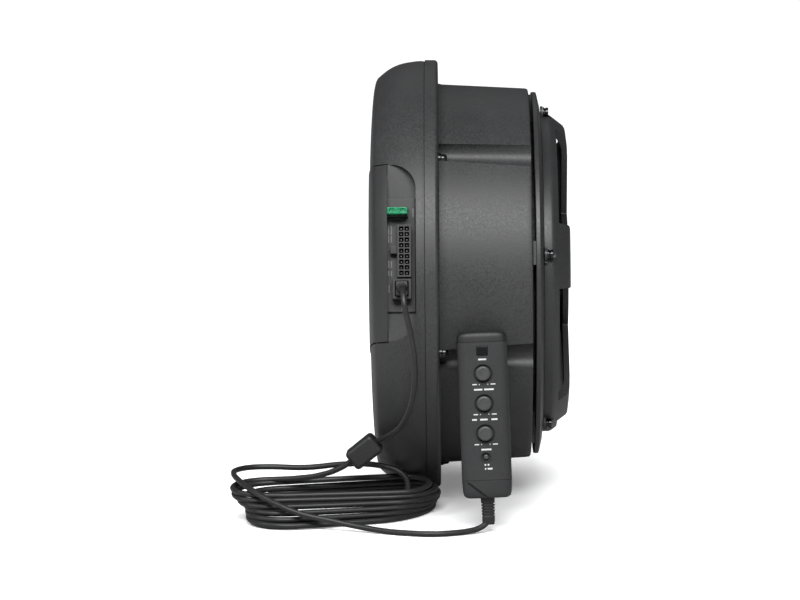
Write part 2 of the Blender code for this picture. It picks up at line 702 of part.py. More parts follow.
def make_ferrite(look):
    """A moulded ferrite sleeve on the cable, hanging by the dome's edge."""
    middle = Vector((-161.0, -119.5, -121.4))
    along = Vector((0.8, -0.03, 0.6)).normalized()
    bead = box((-8.0, -8.0, -11.5), (8.0, 8.0, 11.5))
    bead = rounded(bead, 3.0)
    turn = along.to_track_quat("Z", "Y").to_matrix().to_4x4()
    bead.data.transform(Matrix.Translation(middle * MM) @ turn)
    finish(bead, "ferrite_bead", look)
    return middle + along * 11.5, middle - along * 11.5


def main():
    clear_scene()
    looks = {
        "case": material("case", (0.032, 0.033, 0.035), 0.55),
        "dark": material("dark", (0.028, 0.028, 0.030), 0.5),
        "black": material("black", (0.012, 0.012, 0.013), 0.5),
        "grey": material("grey", (0.07, 0.07, 0.072), 0.45),
        "cable": material("cable", (0.012, 0.012, 0.013), 0.5),
        "rubber": material("rubber", (0.015, 0.015, 0.015), 0.7),
        "cone": material("cone", (0.02, 0.02, 0.02), 0.8),
        "fibre": material("fibre", (0.45, 0.34, 0.16), 0.9),
        "steel": material("steel", (0.35, 0.35, 0.36), 0.4, 1.0),
        "fastener": material("fastener", (0.03, 0.03, 0.032), 0.35, 1.0),
        "copper": material("copper", (0.65, 0.3, 0.14), 0.35, 1.0),
        "ferrite": material("ferrite", (0.05, 0.05, 0.055), 0.6),
        "board": material("board", (0.02, 0.12, 0.05), 0.5),
        "aluminium": material("aluminium", (0.6, 0.61, 0.62), 0.4, 1.0),
        "can": material("can", (0.03, 0.04, 0.09), 0.3),
        "green": material("green", (0.12, 0.5, 0.2), 0.25),
        "red": material("red", (0.35, 0.01, 0.02), 0.2),
        "badge": material("badge", (0.25, 0.25, 0.26), 0.3),
    }
    unit = bpy.data.objects.new("unit_frame", None)
    remote = bpy.data.objects.new("remote_frame", None)
    for empty in (unit, remote):
        bpy.context.collection.objects.link(empty)
    make_dome(looks["case"], unit)
    make_crown(looks["case"], unit)
    make_drum(looks["case"], unit)
    make_case_screws(looks["fastener"], unit)
    make_woofer_ring(looks["case"], unit)
    make_guard(looks["case"], unit)
    make_guard_bolts(looks["fastener"], unit)
    make_woofer(looks, unit)
    make_electronics(looks, unit)
    plug_end = Matrix.Rotation(ROLL, 3, "X") @ make_terminals(looks, unit)
    make_remote(looks, remote)
    make_cord(looks, plug_end, make_ferrite(looks["black"]))
    unit.rotation_euler = (ROLL, 0, 0)
    remote.matrix_world = Matrix.Translation(Vector(REMOTE_FOOT) * MM) @ remote_matrix().to_3x3().to_4x4()


main()
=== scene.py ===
from math import atan2, cos, hypot, pi, radians, sin

import bmesh
import bpy
from mathutils import Matrix, Vector


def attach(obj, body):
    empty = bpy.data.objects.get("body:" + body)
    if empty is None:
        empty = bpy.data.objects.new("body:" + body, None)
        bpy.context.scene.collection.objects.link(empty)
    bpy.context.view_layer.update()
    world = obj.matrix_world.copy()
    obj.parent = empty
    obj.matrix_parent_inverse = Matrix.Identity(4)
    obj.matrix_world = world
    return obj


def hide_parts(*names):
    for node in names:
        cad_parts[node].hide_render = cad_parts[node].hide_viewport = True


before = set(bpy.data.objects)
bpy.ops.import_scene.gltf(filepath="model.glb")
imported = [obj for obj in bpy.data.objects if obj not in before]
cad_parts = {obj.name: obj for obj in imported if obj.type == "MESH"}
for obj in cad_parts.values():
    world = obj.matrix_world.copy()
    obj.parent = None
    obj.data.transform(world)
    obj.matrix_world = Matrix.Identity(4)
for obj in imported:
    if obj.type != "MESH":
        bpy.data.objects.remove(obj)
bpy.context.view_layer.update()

MM = 0.001
ROLL = radians(-14.5)
LEAN = radians(-8.5)
REMOTE_TILT = radians(-1.8)
FLOOR_Z = -171.1
FINE = 192

# Camera: level with the axis' height, looking a little down at the unit's front
CAMERA_ELEVATION = radians(8.5)
CAMERA_DISTANCE = 2.648
CAMERA_AIM = (-0.0928, 0.0, 0.0)
CAMERA_ROLL = radians(-0.45)
FOCAL = 148.5
SHIFT = (-0.0634, -0.0335)

# The unit, in millimetres in its own frame: X along the axis, -Y its front, Z up its front
SEAM_X = -112.5
CROWN_X = -156.3
BLOCK_HALF = 67.3
BLOCK_PROUD = 0.8
HOOD_X = -140.7
BAY_FLOOR_Y = -150.0
BAY_X = (-143.0, -118.8)
BAY_CORNER = 20.0
SCREW_R = 150.4
SCREW_ANGLES = [30 + 60 * k for k in range(6)]
GROOVE_TURNS = [1.9, 0.0, 0.0, 0.0, 0.0, -1.9]
ARMS = 5
BOLT_R = 130.0
LUG_X = -18.9
WINDOW_X = -9.5
HUB_R = 50.0
PANEL_FACE = BAY_FLOOR_Y - 2.3
TOP = PANEL_FACE - 0.3
FUSE_Z = 30.4
FUSE_BLADES = (-136.8, -128.6)
SOCKET_Z = 0.2
JACK_Z = -28.5

# The remote, in its own frame: X right, Z up from the cable's end, -Y its face
REMOTE_FOOT = (-65.6, -180.3, -163.2)
REMOTE_W = 37.7
REMOTE_T = 22.0
RELIEF_L = 18.5
REMOTE_TOP = 143.5
KNOB_DOWN = (30.9, 53.5, 76.1)
BUTTON_DOWN = 93.8
BADGE_DOWN = 14.0

CABLE_R = 2.25
PLUG_BEND = 15.0
CASE_RIM_R = 170.8

DOME = [
    (SEAM_X, 170.0), (-117.4, 170.1), (-123.4, 169.4), (-129.2, 168.4), (-135.4, 166.4),
    (-141.6, 163.1), (-147.9, 158.1), (-150.6, 154.9), (-152.6, 147.0), (-154.1, 131.0),
    (-155.3, 107.0), (-156.0, 60.0), (CROWN_X, 0.0),
]

UNIT = Matrix.Rotation(ROLL, 4, "X")
REMOTE = (Matrix.Translation(Vector(REMOTE_FOOT) * MM)
          @ Matrix.Rotation(REMOTE_TILT, 4, "Y") @ Matrix.Rotation(LEAN, 4, "X"))


# ---------------------------------------------------------------- camera, light, floor

def make_camera():
    data = bpy.data.cameras.new("camera")
    data.lens = FOCAL
    data.sensor_width = 36
    data.shift_x, data.shift_y = SHIFT
    data.clip_end = 50
    obj = bpy.data.objects.new("camera", data)
    bpy.context.scene.collection.objects.link(obj)
    back = Vector((0, -cos(CAMERA_ELEVATION), sin(CAMERA_ELEVATION)))
    turn = back.to_track_quat("Z", "Y").to_matrix().to_4x4()
    obj.matrix_world = (Matrix.Translation(Vector(CAMERA_AIM) + back * CAMERA_DISTANCE) @ turn
                        @ Matrix.Rotation(CAMERA_ROLL, 4, "Z"))
    bpy.context.scene.camera = obj


def area_light(name, place, aim, size, power, tint=(1, 1, 1)):
    data = bpy.data.lights.new(name, "AREA")
    data.shape = "RECTANGLE"
    data.size, data.size_y = size
    data.energy = power
    data.color = tint
    obj = bpy.data.objects.new(name, data)
    bpy.context.scene.collection.objects.link(obj)
    obj.location = place
    obj.rotation_euler = (Vector(aim) - Vector(place)).to_track_quat("-Z", "Y").to_euler()


def make_studio():
    scene = bpy.context.scene
    scene.view_settings.view_transform = "Standard"
    world = bpy.data.worlds.new("studio")
    scene.world = world
    world.use_nodes = True
    tree = world.node_tree
    around_all = tree.nodes["Background"]
    around_all.inputs["Color"].default_value = (0.9, 0.92, 0.95, 1)
    around_all.inputs["Strength"].default_value = 0.10
    white = tree.nodes.new("ShaderNodeBackground")
    white.inputs["Color"].default_value = (1, 1, 1, 1)
    path = tree.nodes.new("ShaderNodeLightPath")
    mix = tree.nodes.new("ShaderNodeMixShader")
    tree.links.new(path.outputs["Is Camera Ray"], mix.inputs["Fac"])
    tree.links.new(around_all.outputs[0], mix.inputs[1])
    tree.links.new(white.outputs[0], mix.inputs[2])
    tree.links.new(mix.outputs[0], tree.nodes["World Output"].inputs["Surface"])
    area_light("key_box", (-0.14, -1.50, 1.32), (-0.09, 0.0, 0.0), (1.3, 0.72), 45)
    area_light("top_strip", (-0.1, 1.0, 1.2), (-0.1, 0.0, 0.0), (1.2, 0.4), 0.8)
    area_light("left_fill", (-1.9, -0.95, 1.25), (-0.12, 0.0, 0.0), (0.7, 0.9), 12)
    area_light("right_fill", (1.2, -1.8, 0.8), (-0.05, 0.0, 0.0), (0.5, 0.9), 0.8)
    data = bpy.data.lights.new("overhead", "SUN")
    data.energy = 2.85
    data.angle = radians(60)
    overhead = bpy.data.objects.new("overhead", data)
    scene.collection.objects.link(overhead)
    overhead.rotation_euler = (radians(-24), radians(10), 0)
    floor = grid_plane(9.0, FLOOR_Z * MM)
    floor.data.materials.append(floor_material())
    lit = bpy.data.collections.new("lit_by_overhead")
    lit.objects.link(floor)
    overhead.light_linking.receiver_collection = lit


def grid_plane(half, z):
    mesh = bpy.data.meshes.new("floor")
    corners = [(-half, -half, z), (half, -half, z), (half, half, z), (-half, half, z)]
    mesh.from_pydata(corners, [], [(0, 1, 2, 3)])
    obj = bpy.data.objects.new("floor", mesh)
    bpy.context.scene.collection.objects.link(obj)
    return obj


def floor_material():
    """Near-white to the camera, and grey to everything it would throw light at."""
    made = bpy.data.materials.new("floor_white")
    made.use_nodes = True
    tree = made.node_tree
    shader = tree.nodes["Principled BSDF"]
    shader.inputs["Base Color"].default_value = (0.95, 0.95, 0.955, 1)
    shader.inputs["Roughness"].default_value = 0.9
    shader.inputs["Specular IOR Level"].default_value = 0.0
    shader.inputs["Emission Color"].default_value = (1, 1, 1, 1)
    shader.inputs["Emission Strength"].default_value = 0.2
    grey = tree.nodes.new("ShaderNodeBsdfDiffuse")
    grey.inputs["Color"].default_value = (0.36, 0.36, 0.36, 1)
    path = tree.nodes.new("ShaderNodeLightPath")
    mix = tree.nodes.new("ShaderNodeMixShader")
    tree.links.new(path.outputs["Is Camera Ray"], mix.inputs["Fac"])
    tree.links.new(grey.outputs[0], mix.inputs[1])
    tree.links.new(shader.outputs[0], mix.inputs[2])
    tree.links.new(mix.outputs[0], tree.nodes["Material Output"].inputs["Surface"])
    return made


# ---------------------------------------------------------------- materials

def plastic(name, dark, light, roughness, grain=1100.0, bump=0.35, depth=0.00006, patch=45.0, spread=0.08,
            metallic=0.0, coat=0.0, specular=0.5):
    """Moulded or coated surface: fine spark-eroded grain, slow drift of colour and of gloss."""
    made = bpy.data.materials.new(name)
    made.use_nodes = True
    tree = made.node_tree
    shader = tree.nodes["Principled BSDF"]
    shader.inputs["Metallic"].default_value = metallic
    shader.inputs["Coat Weight"].default_value = coat
    shader.inputs["Specular IOR Level"].default_value = specular
    place = tree.nodes.new("ShaderNodeTexCoord")
    fine = noise(tree, place, grain, 3.0, 0.6)
    slow = noise(tree, place, patch, 4.0, 0.55)
    mottle = noise(tree, place, grain * 0.8, 2.0, 0.5)
    blend = tree.nodes.new("ShaderNodeMath")
    blend.operation = "MULTIPLY_ADD"
    blend.inputs[1].default_value = 0.8
    tree.links.new(mottle.outputs["Fac"], blend.inputs[0])
    scaled = tree.nodes.new("ShaderNodeMath")
    scaled.operation = "MULTIPLY"
    scaled.inputs[1].default_value = 0.2
    tree.links.new(slow.outputs["Fac"], scaled.inputs[0])
    tree.links.new(scaled.outputs[0], blend.inputs[2])
    ramp = tree.nodes.new("ShaderNodeValToRGB")
    ramp.color_ramp.elements[0].position = 0.34
    ramp.color_ramp.elements[1].position = 0.66
    ramp.color_ramp.elements[0].color = (*dark, 1)
    ramp.color_ramp.elements[1].color = (*light, 1)
    tree.links.new(blend.outputs[0], ramp.inputs["Fac"])
    tree.links.new(ramp.outputs["Color"], shader.inputs["Base Color"])
    gloss = tree.nodes.new("ShaderNodeMapRange")
    gloss.inputs["From Min"].default_value = 0.3
    gloss.inputs["From Max"].default_value = 0.7
    gloss.inputs["To Min"].default_value = roughness - spread
    gloss.inputs["To Max"].default_value = roughness + spread
    tree.links.new(blend.outputs[0], gloss.inputs["Value"])
    tree.links.new(gloss.outputs["Result"], shader.inputs["Roughness"])
    rise = tree.nodes.new("ShaderNodeBump")
    rise.inputs["Strength"].default_value = bump
    rise.inputs["Distance"].default_value = depth
    tree.links.new(fine.outputs["Fac"], rise.inputs["Height"])
    tree.links.new(rise.outputs["Normal"], shader.inputs["Normal"])
    return made


def noise(tree, place, scale, detail, rough):
    made = tree.nodes.new("ShaderNodeTexNoise")
    made.inputs["Scale"].default_value = scale
    made.inputs["Detail"].default_value = detail
    made.inputs["Roughness"].default_value = rough
    tree.links.new(place.outputs["Object"], made.inputs["Vector"])
    return made


def clear_plastic(name, dark, light, roughness, glow=0.0):
    """Tinted see-through plastic, as on a fuse or a lamp."""
    made = plastic(name, dark, light, roughness, 600.0, 0.05, 0.00003, 120.0, 0.04, specular=0.6)
    shader = made.node_tree.nodes["Principled BSDF"]
    shader.inputs["Transmission Weight"].default_value = 0.35
    shader.inputs["IOR"].default_value = 1.5
    if glow:
        shader.inputs["Emission Color"].default_value = (*light, 1)
        shader.inputs["Emission Strength"].default_value = glow
    return made


LOOKS = {}


def make_looks():
    LOOKS.update(
        case=plastic("case_grain", (0.024, 0.0245, 0.0255), (0.043, 0.0435, 0.0445), 0.50, 900.0, 0.75),
        block=plastic("block_satin", (0.026, 0.0265, 0.0275), (0.035, 0.0355, 0.0365), 0.44, 1300.0, 0.3),
        ring=plastic("ring_plastic", (0.024, 0.0245, 0.0255), (0.034, 0.0345, 0.0355), 0.44, 1000.0, 0.35),
        remote=plastic("remote_plastic", (0.019, 0.0195, 0.0205), (0.027, 0.0275, 0.0285), 0.52, 1200.0,
                       0.35),
        black=plastic("black_plastic", (0.012, 0.012, 0.013), (0.020, 0.020, 0.021), 0.45, 900.0, 0.3),
        knob=plastic("knob_plastic", (0.050, 0.0505, 0.0515), (0.068, 0.0685, 0.0695), 0.36, 1500.0, 0.2),
        cable=plastic("cable_sheath", (0.014, 0.014, 0.015), (0.024, 0.024, 0.025), 0.44, 700.0, 0.25),
        rubber=plastic("rubber", (0.010, 0.010, 0.010), (0.018, 0.018, 0.018), 0.62, 500.0, 0.3),
        cone=plastic("cone_paper", (0.016, 0.016, 0.017), (0.030, 0.030, 0.031), 0.75, 300.0, 0.9, 0.0002),
        fibre=plastic("spider_cloth", (0.36, 0.27, 0.12), (0.50, 0.38, 0.18), 0.85, 600.0, 0.9, 0.0002),
        steel=plastic("zinc_steel", (0.42, 0.42, 0.43), (0.55, 0.55, 0.56), 0.36, 400.0, 0.2, metallic=1.0),
        screw=plastic("black_oxide", (0.035, 0.035, 0.037), (0.07, 0.07, 0.072), 0.25, 800.0, 0.2,
                      metallic=1.0),
        copper=plastic("copper_wire", (0.55, 0.24, 0.10), (0.75, 0.36, 0.17), 0.3, 500.0, 0.3, metallic=1.0),
        ferrite=plastic("ferrite_ceramic", (0.035, 0.035, 0.04), (0.06, 0.06, 0.065), 0.6, 500.0, 0.4),
        board=plastic("circuit_board", (0.01, 0.08, 0.03), (0.03, 0.14, 0.06), 0.35, 250.0, 0.2),
        aluminium=plastic("heat_sink_metal", (0.55, 0.56, 0.57), (0.66, 0.67, 0.68), 0.4, 500.0, 0.2,
                          metallic=1.0),
        can=plastic("capacitor_sleeve", (0.02, 0.03, 0.07), (0.04, 0.05, 0.10), 0.3, 500.0, 0.2),
        print=plastic("white_print", (0.62, 0.62, 0.62), (0.75, 0.75, 0.75), 0.5, 900.0, 0.2),
        badge=plastic("badge_plate", (0.006, 0.006, 0.007), (0.010, 0.010, 0.011), 0.22, 1500.0, 0.2),
        fuse=clear_plastic("green_fuse", (0.0, 0.24, 0.10), (0.02, 0.40, 0.18), 0.22),
        led=clear_plastic("red_lamp", (0.30, 0.008, 0.012), (0.42, 0.015, 0.02), 0.18),
        pin=plastic("header_pin", (0.09, 0.09, 0.085), (0.15, 0.15, 0.14), 0.35, 500.0, 0.2, metallic=1.0),
        faint=plastic("faint_print", (0.13, 0.13, 0.13), (0.20, 0.20, 0.20), 0.5, 900.0, 0.2),
        cap=plastic("cap_gloss", (0.008, 0.0082, 0.009), (0.012, 0.0122, 0.013), 0.5, 1200.0, 0.25),
        frame=plastic("black_steel", (0.012, 0.012, 0.013), (0.02, 0.02, 0.021), 0.5, 600.0, 0.3),
        leaf=plastic("fuse_leaf", (0.50, 0.50, 0.48), (0.68, 0.68, 0.66), 0.3, 500.0, 0.2, metallic=1.0),
    )


# ---------------------------------------------------------------- shapes

def raw(points, faces, smooth=True):
    """A loose object from points in millimetres."""
    mesh = bpy.data.meshes.new("raw")
    mesh.from_pydata([Vector(p) * MM for p in points], [], faces)
    shape = bmesh.new()
    shape.from_mesh(mesh)
    bmesh.ops.recalc_face_normals(shape, faces=shape.faces)
    shape.to_mesh(mesh)
    shape.free()
    for face in mesh.polygons:
        face.use_smooth = smooth
    obj = bpy.data.objects.new("raw", mesh)
    bpy.context.scene.collection.objects.link(obj)
    return obj


def revolve(profile, segments=FINE, centre=(0.0, 0.0)):
    """A closed outline of (x, r) turned about the X direction through centre (y, z)."""
    points, rings = [], []
    for x, r in profile:
        if r < 1e-6:
            rings.append([len(points)] * segments)
            points.append((x, *centre))
            continue
        rings.append(list(range(len(points), len(points) + segments)))
        for k in range(segments):
            a = 2 * pi * k / segments
            points.append((x, centre[0] - r * cos(a), centre[1] + r * sin(a)))
    faces = []
    for i, ring in enumerate(rings):
        after = rings[(i + 1) % len(rings)]
        for k in range(segments):
            j = (k + 1) % segments
            corners = []
            for corner in (ring[k], ring[j], after[j], after[k]):
                if corner not in corners:
                    corners.append(corner)
            if len(corners) > 2:
                faces.append(corners)
    return raw(points, faces)


def fillet(outline, radius, steps=4, flattest=0.996):
    """The closed outline with every corner rounded."""
    made, n = [], len(outline)
    for i in range(n):
        before, here, after = (Vector(outline[j % n]) for j in (i - 1, i, i + 1))
        one, two = before - here, after - here
        reach = min(radius, one.length * 0.45, two.length * 0.45)
        if reach < 1e-4 or abs(one.normalized().dot(two.normalized())) > flattest:
            made.append(tuple(here))
            continue
        start, end = here + one.normalized() * reach, here + two.normalized() * reach
        for k in range(steps + 1):
            t = k / steps
            made.append(tuple((1 - t) ** 2 * start + 2 * t * (1 - t) * here + t * t * end))
    return made


def smooth_line(line, step):
    """Catmull-Rom points along an open (x, r) line."""
    made = []
    before = tuple(2 * Vector(line[0]) - Vector(line[1]))
    after = tuple(2 * Vector(line[-1]) - Vector(line[-2]))
    ends = [before, *line, after]
    for i in range(1, len(ends) - 2):
        a, b, c, d = (Vector(p) for p in ends[i - 1:i + 3])
        count = max(2, round((c - b).length / step))
        for k in range(count):
            t = k / count
            point = 0.5 * (2 * b + (c - a) * t + (2 * a - 5 * b + 4 * c - d) * t * t
                           + (3 * b - a - 3 * c + d) * t ** 3)
            made.append(tuple(point))
    return made + [tuple(line[-1])]


def offset_line(line, distance):
    moved = []
    for i, (x, r) in enumerate(line):
        before = line[max(i - 1, 0)]
        after = line[min(i + 1, len(line) - 1)]
        dx, dr = after[0] - before[0], after[1] - before[1]
        size = hypot(dx, dr)
        moved.append((x - distance * dr / size, max(r + distance * dx / size, 0.0)))
    return moved


def band(line, thickness, segments=FINE):
    one = offset_line(line, thickness / 2)
    other = offset_line(line, -thickness / 2)
    return revolve(one + other[::-1], segments)


def prism(outline, low, high, axis):
    n = len(outline)
    points = []
    for level in (low, high):
        for u, v in outline:
            point = [u, v]
            point.insert(axis, level)
            points.append(tuple(point))
    faces = [list(range(n)), list(range(n, 2 * n))]
    faces += [[k, (k + 1) % n, n + (k + 1) % n, n + k] for k in range(n)]
    return raw(points, faces, False)


def box(low, high):
    outline = [(low[0], low[1]), (high[0], low[1]), (high[0], high[1]), (low[0], high[1])]
    return prism(outline, low[2], high[2], 2)


def rod(start, end, r0, r1=None, segments=32):
    start, end = Vector(start), Vector(end)
    turn = (end - start).to_track_quat("Z", "Y")
    points = []
    for middle, r in ((start, r0), (end, r0 if r1 is None else r1)):
        for k in range(segments):
            a = 2 * pi * k / segments
            points.append(middle + turn @ Vector((r * cos(a), r * sin(a), 0)))
    n = segments
    faces = [list(range(n)), list(range(n, 2 * n))]
    faces += [[k, (k + 1) % n, n + (k + 1) % n, n + k] for k in range(n)]
    return raw(points, faces)


def turned(profile, start, direction, segments=40):
    """A closed outline of (distance, r) turned about the line from start along direction."""
    obj = revolve(profile, segments)
    turn = Vector(direction).to_track_quat("X", "Z").to_matrix().to_4x4()
    obj.data.transform(Matrix.Translation(Vector(start) * MM) @ turn)
    return obj


def joined(objects):
    first = objects[0]
    shape = bmesh.new()
    for obj in objects:
        shape.from_mesh(obj.data)
    shape.to_mesh(first.data)
    shape.free()
    for obj in objects[1:]:
        bpy.data.objects.remove(obj, do_unlink=True)
    return first


def baked(obj):
    graph = bpy.context.evaluated_depsgraph_get()
    made = bpy.data.meshes.new_from_object(obj.evaluated_get(graph))
    obj.modifiers.clear()
    obj.data = made
    return obj


def combine(target, other, operation):
    modifier = target.modifiers.new("bool", "BOOLEAN")
    modifier.object = other
    modifier.operation = operation
    modifier.solver = "EXACT"
    baked(target)
    bpy.data.objects.remove(other, do_unlink=True)
    return target


def add(target, other):
    return combine(target, other, "UNION")


def cut(target, other):
    return combine(target, other, "DIFFERENCE")


def common(target, other):
    return combine(target, other, "INTERSECT")


def rounded(obj, width, segments=3, angle=32):
    """The object with its sharp edges rounded."""
    weld = obj.modifiers.new("weld", "WELD")
    weld.merge_threshold = 0.00002
    bevel = obj.modifiers.new("bevel", "BEVEL")
    bevel.width = width * MM
    bevel.segments = segments
    bevel.limit_method = "ANGLE"
    bevel.angle_limit = radians(angle)
    bevel.miter_outer = "MITER_ARC"
    bevel.harden_normals = False
    return baked(obj)


def shade(obj, degrees=32):
    shape = bmesh.new()
    shape.from_mesh(obj.data)
    for face in shape.faces:
        face.smooth = True
    for edge in shape.edges:
        edge.smooth = len(edge.link_faces) == 2 and edge.calc_face_angle(0) < radians(degrees)
    shape.to_mesh(obj.data)
    shape.free()


def piece(obj, name, look, place, body, slot, *nodes):
    """Names the piece, puts it in place, gives it its material, and hands it to its body."""
    obj.name = name
    obj.data.name = name
    obj.data.materials.clear()
    obj.data.materials.append(LOOKS[look])
    if place is not None:
        obj.data.transform(place)
    shade(obj)
    even = obj.modifiers.new("even_normals", "WEIGHTED_NORMAL")
    even.keep_sharp = True
    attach(obj, body)
    if nodes:
        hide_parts(*nodes)
    return obj


def around(radius, degrees, x=0.0):
    a = radians(degrees)
    return Vector((x, -radius * cos(a), radius * sin(a)))


# ---------------------------------------------------------------- cord

def coil_point(turn, extent):
    """A point of the slanting coil, a loop with round ends: right end, back, left end, front."""
    left, right, front, front_up, back, back_up, skew = extent
    half = (front - back) / 2
    straight = (right - left) / 2 - half
    quarter = straight + half * pi / 2
    along = (turn % 1) * 4 * quarter
    side, along = (1, along) if along < 2 * quarter else (-1, along - 2 * quarter)
    if along < half * pi / 2:
        across, swing = straight + half * cos(along / half), sin(along / half)
    elif along < half * pi / 2 + 2 * straight:
        across, swing = straight - (along - half * pi / 2), 1.0
    else:
        a = (along - 2 * straight) / half
        across, swing = half * cos(a) - straight, sin(a)
    across, share = side * across, (1 + side * swing) / 2
    depth = front + (back - front) * share - skew * across
    height = front_up + (back_up - front_up) * share
    return Vector(((left + right) / 2 + across, -depth, FLOOR_Z + height))


def beside_unit(point):
    """The point, moved forward where it would lie inside the round unit."""
    point = Vector(point)
    radius = CASE_RIM_R if SEAM_X < point.x <= -104.0 else 0.0
    for (x0, r0), (x1, r1) in zip(DOME, DOME[1:]):
        if x1 <= point.x <= x0:
            radius = r0 + (r1 - r0) * (point.x - x0) / (x1 - x0)
    radius += CABLE_R + 0.5
    if hypot(point.y, point.z) < radius and radius > abs(point.z):
        point.y = -(radius * radius - point.z * point.z) ** 0.5
    return point


def cord_points():
    """The whole route in millimetres: jack, ferrite sleeve, coil, crossing strand, remote."""
    out, down = UNIT.to_3x3() @ Vector((0, -1, 0)), UNIT.to_3x3() @ Vector((0, 0, -1))
    start = UNIT.to_3x3() @ Vector((-129.7, TOP - 20.2, JACK_Z))
    points = [start]
    for k in range(5):
        a = radians(24 * k)
        drift = Vector((0.6 * k, 0, 0))
        points.append(start + out * (2.5 + PLUG_BEND * sin(a)) + down * PLUG_BEND * (1 - cos(a)) + drift)
    points += [
        (-123.4, -192.0, -16.0), (-120.4, -184.5, -42.0), (-122.0, -172.5, -68.0),
        (-129.0, -156.0, -90.0), (-139.5, -134.0, -104.4), (-151.0, -121.5, -112.8),
        (-160.6, -119.5, -120.4), (-170.0, -118.4, -128.0), (-181.0, -115.5, -135.2),
        (-196.0, -110.0, -141.2), (-213.0, -104.5, -144.6), (-229.0, -100.5, -146.2),
        (-243.0, -100.2, -146.8), (-255.0, -106.5, -147.0), (-261.5, -118.0, -147.2),
        (-261.0, -131.5, -147.6), (-253.5, -143.0, -148.0),
    ]
    rows = [
        (-253, -113, 139, 22.5, 98, 25.4, 0.12),
        (-261, -111, 138, 20.4, 95, 24.2, 0.12),
        (-261, -106, 140, 16.8, 91, 18.4, 0.17),
        (-252, -104, 145, 13.2, 87, 14.4, 0.22),
        (-250, -105, 150, 9.6, 82, 10.6, 0.27),
        (-250, -107, 155, 5.9, 77, 6.8, 0.30),
        (-249, -108, 160, 2.3, 71, 2.5, 0.32),
        (-246, -113, 153, 2.3, 82, 2.3, 0.32),
        (-240, -119, 143, 2.3, 93, 2.3, 0.32),
    ]
    first, last, per_turn = 0.64, 7.72, 24
    count = round((last - first) * per_turn)
    for k in range(count + 1):
        at = first + (last - first) * k / count
        low = min(int(at), len(rows) - 1)
        high = min(low + 1, len(rows) - 1)
        share = at - int(at)
        share = share * share * (3 - 2 * share)
        extent = [a + (b - a) * share for a, b in zip(rows[low], rows[high])]
        points.append(coil_point(at, extent))
    points += [
        (-158.0, -132.0, -168.4), (-141.0, -126.0, -164.0), (-130.0, -116.0, -157.0),
        (-127.5, -105.5, -149.0), (-133.0, -98.5, -142.0), (-144.0, -96.0, -138.0),
        (-158.0, -93.0, -136.3), (-178.0, -84.0, -138.0), (-208.0, -79.0, -141.5),
        (-236.0, -77.5, -141.0), (-252.0, -81.5, -140.6), (-261.0, -91.5, -140.4),
        (-262.5, -108.0, -139.8), (-257.5, -128.0, -140.6), (-247.5, -147.0, -143.6),
        (-231.8, -161.0, -149.8), (-209.5, -170.0, -157.7), (-186.5, -174.5, -162.4),
        (-164.4, -179.0, -166.4), (-142.5, -186.0, -168.7), (-129.5, -191.0, -168.8),
        (-107.8, -195.5, -168.8), (-93.0, -193.0, -168.8), (-81.0, -188.6, -168.4),
        (-73.6, -185.2, -167.3), (-68.3, -182.4, -164.6),
    ]
    up = REMOTE.to_3x3() @ Vector((0, 0, 1))
    foot = Vector(REMOTE_FOOT)
    kept_as_set = 18
    points = [Vector(p) if k < kept_as_set else beside_unit(p) for k, p in enumerate(points)]
    return points + [foot + up * 2.4, foot + up * 7.0]


def make_cord():
    data = bpy.data.curves.new("remote_cord", "CURVE")
    data.dimensions = "3D"
    data.resolution_u = 6
    data.bevel_depth = CABLE_R * MM
    data.bevel_resolution = 5
    data.use_fill_caps = True
    points = cord_points()
    spline = data.splines.new("BEZIER")
    spline.bezier_points.add(len(points) - 1)
    for knot, point in zip(spline.bezier_points, points):
        knot.co = point * MM
        knot.handle_left_type = knot.handle_right_type = "AUTO"
    obj = bpy.data.objects.new("remote_cord", data)
    bpy.context.scene.collection.objects.link(obj)
    data.materials.append(LOOKS["cable"])
    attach(obj, "case")
    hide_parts("lead_upper", "lead_mid", "lead_lower", "cable_coil")
    length = sum((b - a).length for a, b in zip(points, points[1:])) * MM
    return obj, points[0] * MM, length * 1.006


def make_ferrite():
    """A moulded ferrite sleeve: barrel with softly rounded ends and a dark bore."""
    middle = Vector((-160.6, -119.5, -120.4))
    along = Vector((0.78, -0.03, 0.63)).normalized()
    bead = box((-8.4, -8.4, -12.9), (8.4, 8.4, 12.9))
    bead = rounded(bead, 3.4, 6)
    bore = turned(fillet([(10.0, 0.0), (10.0, 3.4), (14.0, 6.6), (14.0, 0.0)], 0.4), (0, 0, 0), (0, 0, 1))
    bead = cut(bead, bore)
    turn = along.to_track_quat("Z", "Y").to_matrix().to_4x4()
    place = Matrix.Translation(middle * MM) @ turn
    return piece(bead, "ferrite_sleeve", "black", place, "case", "black_plastic", "ferrite_bead")


# ---------------------------------------------------------------- case

def profile_offset(distance, line):
    moved = offset_line(line, -distance)
    moved[-1] = (moved[-1][0], 0.0)
    return moved


def clip_line(line, x):
    kept = []
    for one, two in zip(line, line[1:]):
        if one[0] > x >= two[0]:
            share = (one[0] - x) / (one[0] - two[0])
            kept.append((x, one[1] + share * (two[1] - one[1])))
        if two[0] < x:
            kept.append(two)
    return kept


def block_outline(half):
    outline = [(-230.0, -half), (0.0, -half)]
    for k in range(1, 32):
        a = -pi / 2 + pi * k / 32
        outline.append((half * cos(a), half * sin(a)))
    return outline + [(0.0, half), (-230.0, half)]


